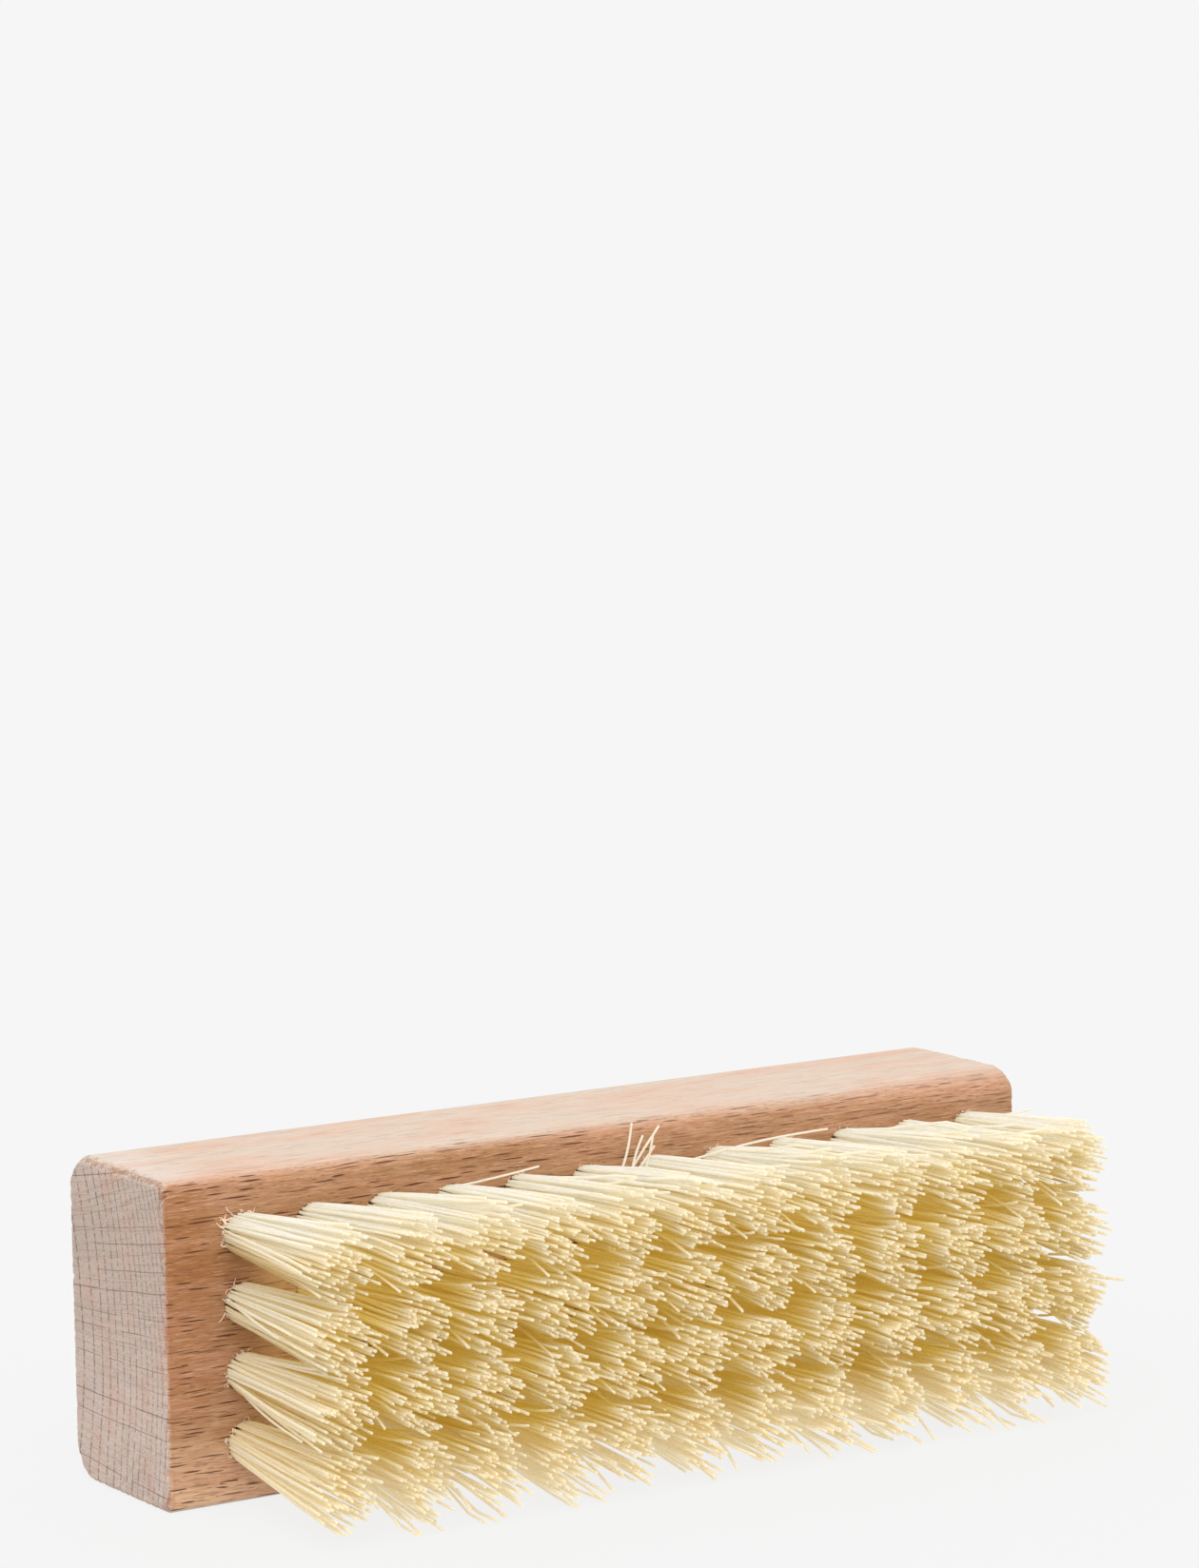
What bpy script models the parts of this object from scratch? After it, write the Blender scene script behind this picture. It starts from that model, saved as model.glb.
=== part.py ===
# Shoe brush: a beech block drilled with blind holes, and in each hole one tuft of plant fibre,
# folded double over a flat wire anchor that holds it at the bottom.
# The block is modelled with its bristle face in the XY plane: X along the block, Y across it
# and Z out of the face. A parent empty then lays the brush on its long narrow side, so that
# the bristles point to -Y and +Z is up. The origin is on the surface that the brush lies on,
# in the middle of its outline.

import math
import random

import bmesh
import bpy
from mathutils import Vector

# Driving dimensions, in metres

# Block
BLOCK_LENGTH = 0.125
BLOCK_WIDTH = 0.040
BLOCK_THICKNESS = 0.024
UPPER_BACK_EDGE_RADIUS = 0.0042
LOWER_BACK_EDGE_RADIUS = 0.0046
UPPER_FRONT_EDGE_RADIUS = 0.0034
LOWER_FRONT_EDGE_RADIUS = 0.0012
END_ARRIS = 0.0008

# Drilled holes; the margins are the least from a hole's centre to the block's end and side
COLUMN_PITCH = 0.0097
ROW_PITCH = 0.0084
END_MARGIN = 0.0076
SIDE_MARGIN = 0.0070
FIELD_OFFSET = 0.0014
HOLE_DIAMETER = 0.0050
HOLE_DEPTH = 0.0110
DRILL_POINT_ANGLE = math.radians(118)
DRILL_OVERRUN = 0.0030

# Roots of the tufts and their anchors
ROOT_CLEARANCE = 0.0003
FOLD_HEIGHT = 0.0016
FOLD_WIDTH = 0.0022
ANCHOR_FOOT = 0.0001
ANCHOR_HEIGHT = 0.0018
ANCHOR_THICKNESS = 0.0005
ANCHOR_CLEARANCE = 0.0001

# Bristles
TRIM_LENGTH = 0.027
CORE_SHARE = 0.45
TRIM_UNEVENNESS = 0.0006
STRAND_TAPER = 0.85
TIP_SCATTER = 0.0003
TUFT_GAP = 0.0003
UPPER_ROW_LEAN = 0.0006
LOWER_ROW_LEAN = 0.0010
END_COLUMN_LEAN = 0.0005
EDGE_SPLAY = 1.30
REST_GAP = 0.0006

# Facets, and the draw that sets how the bristles fall
EDGE_STEPS = 5
ARRIS_STEPS = 2
ROUND_SIDES = 12
SEED = 4

# Counts and sizes that follow from them
COLUMNS = 1 + int((BLOCK_LENGTH - 2 * END_MARGIN) / COLUMN_PITCH)
ROWS = 1 + int((BLOCK_WIDTH - 2 * SIDE_MARGIN) / ROW_PITCH)
ROOT_RADIUS = HOLE_DIAMETER / 2 - ROOT_CLEARANCE
ROOT_DEPTH = HOLE_DEPTH - ROOT_CLEARANCE
FACE_Y = (TRIM_LENGTH - BLOCK_THICKNESS) / 2


def clear_scene():
    for item in list(bpy.data.objects):
        bpy.data.objects.remove(item, do_unlink=True)


def make_material(name, colour, roughness, metallic=0.0):
    material = bpy.data.materials.new(name)
    material.use_nodes = True
    shader = material.node_tree.nodes["Principled BSDF"]
    shader.inputs["Base Color"].default_value = (*colour, 1.0)
    shader.inputs["Roughness"].default_value = roughness
    shader.inputs["Metallic"].default_value = metallic
    return material


def make_object(name, bm, material, parent, place=(0, 0, 0)):
    bmesh.ops.recalc_face_normals(bm, faces=bm.faces)
    mesh = bpy.data.meshes.new(name)
    bm.to_mesh(mesh)
    bm.free()
    if material:
        mesh.materials.append(material)
    thing = bpy.data.objects.new(name, mesh)
    bpy.context.collection.objects.link(thing)
    thing.parent = parent
    thing.location = place
    return thing


def add_ring(bm, radius, height, across=None):
    # A ring of vertices about Z; across gives it a lesser half width along Y.
    squeeze = (across or radius) / radius
    corners = []
    for step in range(ROUND_SIDES):
        angle = (step + 0.5) * math.tau / ROUND_SIDES
        spot = (radius * math.cos(angle), radius * math.sin(angle) * squeeze, height)
        corners.append(bm.verts.new(spot))
    return corners


def add_wall(bm, lower, upper):
    # Four-sided faces between two rings, in order round them.
    faces = []
    for here in range(ROUND_SIDES):
        ahead = (here + 1) % ROUND_SIDES
        faces.append(bm.faces.new((lower[here], lower[ahead], upper[ahead], upper[here])))
    return faces


def hole_places():
    # Every hole's row, column and centre on the bristle face, the upper row first.
    # The whole field sits a little off the middle of the block's length.
    for row in range(ROWS):
        for column in range(COLUMNS):
            x = (column - (COLUMNS - 1) / 2) * COLUMN_PITCH + FIELD_OFFSET
            y = ((ROWS - 1) / 2 - row) * ROW_PITCH
            yield row, column, Vector((x, y))


def round_long_edge(bm, side, face, radius):
    # side is 1 for the upper long side of the block and -1 for the lower one;
    # face is 1 for the bristle face and -1 for the back.
    along = [e for e in bm.edges if abs(e.verts[0].co.x - e.verts[1].co.x) > BLOCK_LENGTH / 2]

    def outwardness(edge):
        spot = edge.verts[0].co
        return side * spot.y + face * spot.z

    corner = max(along, key=outwardness)
    bmesh.ops.bevel(bm, geom=[corner], offset=radius, segments=EDGE_STEPS, profile=0.5,
                    affect="EDGES", clamp_overlap=True)


def make_block(material, parent):
    bm = bmesh.new()
    bmesh.ops.create_cube(bm, size=1.0)
    bmesh.ops.scale(bm, vec=(BLOCK_LENGTH, BLOCK_WIDTH, BLOCK_THICKNESS), verts=bm.verts)
    bmesh.ops.translate(bm, vec=(0, 0, -BLOCK_THICKNESS / 2), verts=bm.verts)
    round_long_edge(bm, 1, -1, UPPER_BACK_EDGE_RADIUS)
    round_long_edge(bm, -1, -1, LOWER_BACK_EDGE_RADIUS)
    round_long_edge(bm, 1, 1, UPPER_FRONT_EDGE_RADIUS)
    round_long_edge(bm, -1, 1, LOWER_FRONT_EDGE_RADIUS)
    bm.normal_update()
    ends = [f for f in bm.faces if abs(f.normal.x) > 0.99]
    rims = list({edge for face in ends for edge in face.edges})
    bmesh.ops.bevel(bm, geom=rims, offset=END_ARRIS, segments=ARRIS_STEPS, profile=0.5,
                    affect="EDGES", clamp_overlap=True)
    block = make_object("wood_block", bm, material, parent)
    drilling = block.modifiers.new("drilled_holes", "BOOLEAN")
    drilling.operation = "DIFFERENCE"
    drilling.solver = "EXACT"
    drilling.object = make_drills(parent)
    block.data.shade_smooth()
    block.data.set_sharp_from_angle(angle=math.radians(35))
    return block


def make_drills(parent):
    # One drill for each hole, with its point past the hole's full depth.
    bm = bmesh.new()
    radius = HOLE_DIAMETER / 2
    point = radius / math.tan(DRILL_POINT_ANGLE / 2)
    for _, _, centre in hole_places():
        before = set(bm.verts)
        shoulder = add_ring(bm, radius, -HOLE_DEPTH)
        shank = add_ring(bm, radius, DRILL_OVERRUN)
        add_wall(bm, shoulder, shank)
        bm.faces.new(shank)
        tip = bm.verts.new((0, 0, -HOLE_DEPTH - point))
        for here in range(ROUND_SIDES):
            bm.faces.new((shoulder[here], tip, shoulder[(here + 1) % ROUND_SIDES]))
        fresh = [vert for vert in bm.verts if vert not in before]
        bmesh.ops.translate(bm, vec=(*centre, 0), verts=fresh)
    drills = make_object("drills", bm, None, parent)
    drills.hide_render = True
    drills.display_type = "WIRE"
    return drills


def add_anchor_end(bm, wall):
    # One end of the flat wire, which lies in the fold and stands out of the root's side.
    middle = wall.calc_center_median()
    bmesh.ops.inset_individual(bm, faces=[wall], thickness=ANCHOR_THICKNESS / 4)
    for vert in wall.verts:
        above = FOLD_HEIGHT if vert.co.z < middle.z else FOLD_HEIGHT + ANCHOR_HEIGHT
        y = math.copysign(ANCHOR_THICKNESS / 2, vert.co.y)
        vert.co = (middle.x, y, above + ANCHOR_FOOT - ROOT_DEPTH)
    end = bmesh.ops.extrude_discrete_faces(bm, faces=[wall])["faces"][0]
    hole_flat = HOLE_DIAMETER / 2 * math.cos(math.pi / ROUND_SIDES)
    for vert in end.verts:
        vert.co.x = math.copysign(hole_flat - ANCHOR_CLEARANCE, middle.x)


def add_root(bm):
    # The part in the hole: round at the mouth, with the fold's keel at the bottom.
    mouth = add_ring(bm, ROOT_RADIUS, 0)
    waist = add_ring(bm, ROOT_RADIUS, FOLD_HEIGHT - ROOT_DEPTH)
    keel = add_ring(bm, ROOT_RADIUS, -ROOT_DEPTH, FOLD_WIDTH / 2)
    walls = add_wall(bm, waist, mouth)
    add_wall(bm, keel, waist)
    bm.faces.new(reversed(keel))
    half = ROUND_SIDES // 2
    add_anchor_end(bm, walls[half - 1])
    add_anchor_end(bm, walls[-1])
    return mouth


def add_feet(bm, mouth, first):
    # The mouth is shared out among six outer and three inner feet of four sides each.
    rim = mouth[first:] + mouth[:first]
    corners = rim[::2]
    core = [bm.verts.new(vert.co * CORE_SHARE) for vert in corners]
    centre = bm.verts.new((0, 0, 0))
    feet = []
    for here in range(6):
        ahead = (here + 1) % 6
        feet.append(bm.faces.new((corners[here], corners[ahead], core[ahead], core[here])))
        bm.faces.new((corners[here], rim[2 * here + 1], corners[ahead]))
    for here in (0, 2, 4):
        feet.append(bm.faces.new((centre, core[here], core[here + 1], core[(here + 2) % 6])))
    return feet


def flare_of(feet, axis, pitch):
    # How many times further from the tuft's axis the tips stand than the feet, so that the
    # tips of neighbouring tufts just clear each other.
    limit = (pitch - TUFT_GAP) / 2 - TIP_SCATTER
    flares = []
    for foot in feet:
        centre = foot.calc_center_median()
        half = max(abs(vert.co[axis] - centre[axis]) for vert in foot.verts)
        if abs(centre[axis]) > half / 2:
            flares.append((limit - half * STRAND_TAPER) / abs(centre[axis]))
    return min(flares)


def edge_sides(row, column):
    # Which way is out of the bristle field, as -1, 0 or 1 along X and Y.
    along = (column == COLUMNS - 1) - (column == 0)
    across = (row == 0) - (row == ROWS - 1)
    return along, across


def make_tuft(row, column, centre, material, parent, chance):
    bm = bmesh.new()
    mouth = add_root(bm)
    feet = add_feet(bm, mouth, chance.randrange(ROUND_SIDES))
    flare = (flare_of(feet, 0, COLUMN_PITCH), flare_of(feet, 1, ROW_PITCH))
    along, across = edge_sides(row, column)
    row_lean = UPPER_ROW_LEAN if across > 0 else LOWER_ROW_LEAN
    lean = (along * END_COLUMN_LEAN, across * row_lean)
    lowest = REST_GAP - BLOCK_WIDTH / 2 - centre.y
    starts = [foot.calc_center_median() for foot in feet]
    tips = bmesh.ops.extrude_discrete_faces(bm, faces=feet)["faces"]
    for number, (start, tip) in enumerate(zip(starts, tips)):
        spot = Vector((0, 0, TRIM_LENGTH))
        if number:
            spot.z -= chance.random() * TRIM_UNEVENNESS
        for axis, outward in enumerate((along, across)):
            spot[axis] = start[axis] * flare[axis] + chance.uniform(-1, 1) * TIP_SCATTER
            if outward * start[axis] > 0:
                spot[axis] *= EDGE_SPLAY
            spot[axis] += lean[axis]
        half = max(abs(vert.co.y - start.y) for vert in tip.verts) * STRAND_TAPER
        spot.y = max(spot.y, lowest + half)
        for vert in tip.verts:
            vert.co = spot + (vert.co - start) * STRAND_TAPER
    name = f"tuft_row{row + 1}_{column + 1:02d}"
    return make_object(name, bm, material, parent, (*centre, 0))


def build():
    clear_scene()
    chance = random.Random(SEED)
    beech = make_material("beech", (0.60, 0.36, 0.22), 0.62)
    fibre = make_material("plant_fibre", (0.83, 0.71, 0.42), 0.55)
    pose = bpy.data.objects.new("brush_on_its_side", None)
    bpy.context.collection.objects.link(pose)
    pose.location = (0, FACE_Y, BLOCK_WIDTH / 2)
    pose.rotation_euler = (math.pi / 2, 0, 0)
    block = make_block(beech, pose)
    for row, column, centre in hole_places():
        make_tuft(row, column, centre, fibre, block, chance)


build()
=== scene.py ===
import math
import random

import bmesh
import bpy
from mathutils import Matrix, Vector, noise


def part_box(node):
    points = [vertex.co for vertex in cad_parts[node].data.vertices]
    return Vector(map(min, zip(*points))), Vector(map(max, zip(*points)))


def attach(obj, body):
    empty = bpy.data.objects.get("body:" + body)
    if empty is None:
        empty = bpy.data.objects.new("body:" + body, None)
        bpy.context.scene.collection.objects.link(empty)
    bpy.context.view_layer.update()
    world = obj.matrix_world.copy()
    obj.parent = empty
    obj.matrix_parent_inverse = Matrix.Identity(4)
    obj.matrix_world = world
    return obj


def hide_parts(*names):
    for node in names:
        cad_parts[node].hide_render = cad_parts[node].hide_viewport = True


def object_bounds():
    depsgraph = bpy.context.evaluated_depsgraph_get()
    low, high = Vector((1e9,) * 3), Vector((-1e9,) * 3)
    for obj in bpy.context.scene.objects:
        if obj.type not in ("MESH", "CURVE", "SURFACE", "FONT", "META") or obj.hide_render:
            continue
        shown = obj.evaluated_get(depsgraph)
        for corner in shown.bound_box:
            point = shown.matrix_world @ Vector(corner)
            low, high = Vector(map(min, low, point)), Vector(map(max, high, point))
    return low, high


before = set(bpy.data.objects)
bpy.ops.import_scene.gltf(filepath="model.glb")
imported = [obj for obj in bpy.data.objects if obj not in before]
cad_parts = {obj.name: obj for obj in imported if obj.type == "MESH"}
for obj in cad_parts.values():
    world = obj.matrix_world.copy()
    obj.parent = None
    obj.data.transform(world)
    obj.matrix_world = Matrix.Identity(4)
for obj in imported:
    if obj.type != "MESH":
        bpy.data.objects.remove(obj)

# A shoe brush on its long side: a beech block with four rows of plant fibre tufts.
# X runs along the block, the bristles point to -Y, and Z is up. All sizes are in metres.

mm = 0.001
goldenAngle = math.pi * (3 - math.sqrt(5))
cadLow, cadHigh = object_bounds()
blockLow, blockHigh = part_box("wood_block")
tuftNodes = sorted(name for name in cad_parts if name.startswith("tuft_"))
blockMiddle = (blockLow + blockHigh) / 2
blockHalf = (blockHigh - blockLow) / 2
woodCrease = 35         # degrees; flatter edges are shaded smooth
fibreCrease = 80
wireCrease = 40
print("frame loaded:", len(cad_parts), "nodes,", len(tuftNodes), "of them tufts")


# Shader helpers

def screenColour(red, green, blue):
    # A colour as a screen shows it, 0 to 255, turned into Blender's linear values.
    def linear(part):
        part = part / 255
        return part / 12.92 if part <= 0.04045 else ((part + 0.055) / 1.055) ** 2.4
    return (linear(red), linear(green), linear(blue), 1.0)


def sums(operation, swapped=False):
    # How a wire works out one kind of sum; swapped is for a number that stands before it.
    def work(self, other=None):
        pair = (other, self) if swapped else (self, other)
        return self.math(operation, *pair)
    return work


class Wire:
    # One output of a shader node. Sums on wires add the Math nodes that work them out.
    def __init__(self, tree, socket=None):
        self.tree = tree
        self.socket = socket

    def node(self, kind, settings=None, links=None, output=0):
        made = self.tree.nodes.new("ShaderNode" + kind)
        for name, value in (settings or {}).items():
            setattr(made, name, value)
        for name, value in (links or {}).items():
            self.plug(value, made.inputs[name])
        return Wire(self.tree, made.outputs[output])

    def plug(self, value, target):
        if isinstance(value, Wire):
            self.tree.links.new(value.socket, target)
        else:
            target.default_value = value

    def __getitem__(self, name):
        return Wire(self.tree, self.socket.node.outputs[name])

    def math(self, operation, first, second=None):
        links = {0: first} if second is None else {0: first, 1: second}
        return self.node("Math", {"operation": operation}, links)

    __add__, __radd__ = sums("ADD"), sums("ADD", True)
    __sub__, __rsub__ = sums("SUBTRACT"), sums("SUBTRACT", True)
    __mul__, __rmul__ = sums("MULTIPLY"), sums("MULTIPLY", True)
    __truediv__, __pow__, __abs__ = sums("DIVIDE"), sums("POWER"), sums("ABSOLUTE")


def fade(value, low, high):
    # 0 below low, 1 above high and smooth between; low may be the greater of the two.
    settings = {"interpolation_type": "SMOOTHSTEP", "clamp": True}
    return value.node("MapRange", settings, {"Value": value, "From Min": low, "From Max": high})


def tint(factor, first, second, how="MIX"):
    # Colour first where factor is 0, and second laid over it where factor is 1.
    settings = {"data_type": "RGBA", "blend_type": how, "clamp_factor": True}
    return factor.node("Mix", settings, {0: factor, 6: first, 7: second}, 2)


def layTones(colour, masks, onFlat=None):
    # Tones over a colour, each by its mask and its share; some have more on the flat sides.
    for name, mask in masks:
        tone, share, *more = (woodTones | fibreTones)[name]
        if more:
            share = onFlat * more[0] + share
        colour = tint(mask * share, colour, screenColour(*tone))
    return colour


def point(x, y, z):
    return x.node("CombineXYZ", links={0: x, 1: y, 2: z})


def splitVector(vector):
    return vector.node("SeparateXYZ", links={0: vector})


def splitColour(colour):
    return colour.node("SeparateColor", links={0: colour})


def attribute(spot, name):
    return spot.node("Attribute", {"attribute_name": name}, output="Fac")


def grain(vector, detail=2, roughness=0.5):
    settings = {"noise_dimensions": "3D"}
    links = {"Vector": vector, "Scale": 1, "Detail": detail, "Roughness": roughness}
    return vector.node("TexNoise", settings, links)


def startMaterial(name):
    material = bpy.data.materials.new(name)
    material.use_nodes = True
    shader = material.node_tree.nodes["Principled BSDF"]
    start = Wire(material.node_tree)
    inMillimetres = start.node("Mapping", None, {
        "Vector": start.node("TexCoord", output="Object"), "Scale": (1000, 1000, 1000)})
    return material, shader, inMillimetres


def finishMaterial(shader, wire, colour, roughness, height, depth, fixed):
    wire.plug(colour, shader.inputs["Base Color"])
    wire.plug(roughness, shader.inputs["Roughness"])
    bump = wire.node("Bump", None, {"Height": height, "Strength": 1, "Distance": depth})
    wire.plug(bump, shader.inputs["Normal"])
    for name, value in fixed.items():
        shader.inputs[name].default_value = value


# Beech: the block was sawn beside the heart of the tree, so its rings and rays are
# circles round, and lines from, a heart line that runs behind the block.

beech = {
    "heartY": 88,         # mm, the heart line's place behind the bristle face
    "heartZ": 15,
    "firstRing": 62,      # mm from the heart to the first ring counted
    "ringRate": 0.24,       # rings for each mm there
    "ringTightening": 0.0140,  # how fast they get closer outwards
    "ringLine": 0.16,       # mm, half of a ring line's width
    "sway": 1.6,            # mm, how far the grain wanders along the block
    # flecks: mm along the grain, round the rings and outwards that each has to itself, then
    # half its length and half its thickness, each as the least and what luck adds
    "rays": ((4.3, 0.8, 20), (1.1, 1.6), (0.055, 0.075)),
    "specks": ((1.7, 0.55, 9), (0.3, 0.5), (0.03, 0.04)),
    "raySlope": -0.078,     # how steeply the rays rise towards the bristle side
    "raySteepening": 0.008,  # and how much more so for each mm higher up
    "longRays": (3.1, 0.06),  # mm between them on the ends, and half a line's thickness
    "shortRays": (1, 0.04),
    "shortRayOffset": 31,  # so that they don't fall on the long ones
    "nearTones": (-48, -56),  # mm along the block, where the nearer end's own tones start
    "farTones": (-15, 35),  # and where the flecks get fainter
    "fainterFar": 0.45,     # by this share
    "fewerBehind": 0.45,    # share of the flecks that the back lacks
    # where light bounced from the fibres is painted on the wood between the tufts: axis, and mm
    # where it starts and is full
    "amongTufts": (("X", -53, -46), ("X", 58, 54), ("Z", 3, 8), ("Z", 33, 30),
                   ("Y", 3.5, 2)),
    "rimRounding": 3.4,     # mm, the corner that the rims' distance is reckoned from
    "sharperRim": 1.9,      # mm less of it at the upper front corner of the nearer end
    "rimOffset": 0.55,      # mm from the rim to the dark line along it
    "rimJags": 1.5,         # mm, how far the line strays
    "bumpDepth": 0.05 * mm,
    "longSide": screenColour(184, 169, 154),
    # the bristle side: the same wood darker and browner, with painted shade and golden light
    # bounced from the tufts
    "bristleSide": screenColour(166, 126, 90),
    "back": screenColour(204, 168, 138),
    "streak": screenColour(222, 196, 180),
    "streakShare": 0.45,
    "endTones": (screenColour(180, 162, 151), screenColour(193, 174, 163)),
    "endRay": screenColour(104, 82, 70),
    "ringLineShares": (0.58, 0.25),  # of its dark at the front, and what the back adds
    "endRayShares": (0.62, 0.34),  # of the long rays and the short ones
    "tearingShares": (0.4, 0.6),  # of the torn spots and the rim itself
}
# Noises in the wood: turns for each mm along and across the grain, detail and roughness
woodNoise = {
    "wander": (0.014, 0.03, 3, 0.5),
    "streaks": (0.16, 5, 3, 0.6),
    "dots": (5, 5.5, 2, 0.7),
    "clouds": (0.05, 0.22, 2, 0.5),
    "bands": (0.02, 0.8, 3, 0.6),
    "fine": (0.45, 9, 2, 0.7),
    "jags": (0.4, 1.7, 3, 0.7),
}
# Tones laid over the wood's own, some of them painted light and shade: how strongly each shows,
# and how much more on flat sides
woodTones = {
    # painted floor bounce: the bristle side lighter lower down
    "lowerTone": ((219, 184, 150), 0.75),
    "bandPale": ((188, 150, 122), 0.55),
    "bandDark": ((148, 102, 68), 0.55),
    "darkPart": ((150, 98, 50), 0.8),  # at the nearer end
    "darkClouds": ((150, 98, 50), 0.25),
    "paleEnd": ((192, 184, 176), 0.6),  # of the long side, at the nearer end
    "blush": ((190, 140, 112), 0.40),
    "lateWood": ((190, 140, 112), 0.10, 0.12),
    "fineDark": ((140, 92, 62), 0.12, 0.48),
    "finePale": ((206, 170, 144), 0.10, 0.38),
    "specks": ((84, 44, 24), 0.12, 0.38),
    "rays": ((84, 44, 24), 0.17, 0.80),
    "endBlush": ((190, 140, 112), 0.30),
    "endPores": ((104, 82, 70), 0.30),
    "warmth": ((250, 214, 150), 0.35),  # painted light bounced from the fibres, between the tufts
    "teeth": ((214, 188, 162), 0.5),
    # torn wood at the chips and the rim, with painted shade in the chips' hollows
    "tearing": ((152, 88, 50), 1),
    # the dark jagged line along the ends' upper rim: torn fibres and painted shadow
    "rimLine": ((130, 88, 52), 0.55),
}


def flecks(x, roundHeart, fromHeart, cell, halfLength, halfThickness):
    # Lens-shaped flecks, each with a length, thickness and strength of its own.
    cellPoint = point(x / cell[0], roundHeart / cell[1], fromHeart / cell[2])
    cells = cellPoint.node("TexVoronoi", {"voronoi_dimensions": "3D", "feature": "F1"},
                           {"Vector": cellPoint, "Scale": 1, "Randomness": 0.85})
    offset = cellPoint.node("VectorMath", {"operation": "SUBTRACT"},
                            {0: cellPoint, 1: cells["Position"]})
    offset = splitVector(offset)
    luck = splitColour(cells["Color"])
    along = offset["X"] * cell[0] / (luck["Red"] * halfLength[1] + halfLength[0])
    across = abs(offset["Y"] * cell[1]) / (luck["Green"] * halfThickness[1] + halfThickness[0])
    lens = fade(1 - along * along - across, 0, 0.4)
    return lens * fade(luck["Blue"], 0.25, 0.65)


def rayLines(roundHeart, fromHeart, spacing, halfThickness):
    # Rays as they cross an end: thin lines from the heart that fade and come back.
    where = roundHeart / spacing
    line = where.node("TexVoronoi", {"voronoi_dimensions": "1D", "feature": "F1"},
                      {"W": where, "Scale": 1, "Randomness": 0.9})
    luck = splitColour(line["Color"])
    thin = fade(line * spacing, halfThickness * 1.6, halfThickness * 0.5)
    broken = grain(point(fromHeart * 0.16, luck["Green"] * 40, luck["Red"] * 40), 1)
    return thin * fade(luck["Red"], -0.2, 0.7) * fade(broken, 0.32, 0.50)


def distanceFromRims(x, y, z):
    # How far a spot is from the edge round the nearer end, in mm.
    middle = blockMiddle / mm
    half = blockHalf / mm
    sharper = fade(y, 10, 8) * fade(z, 20, 24) * fade(x, 0, -20)
    corner = beech["rimRounding"] - sharper * beech["sharperRim"]
    beyondY = abs(y - middle.y) - (half.y - corner)
    beyondZ = abs(z - middle.z) - (half.z - corner)
    inY = beyondY.math("MAXIMUM", beyondY, 0)
    inZ = beyondZ.math("MAXIMUM", beyondZ, 0)
    inner = beyondY.math("MINIMUM", beyondY.math("MAXIMUM", beyondY, beyondZ), 0)
    fromSides = corner - (inY * inY + inZ * inZ) ** 0.5 - inner
    return fromSides.math("MAXIMUM", fromSides, half.x - abs(x))


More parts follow.
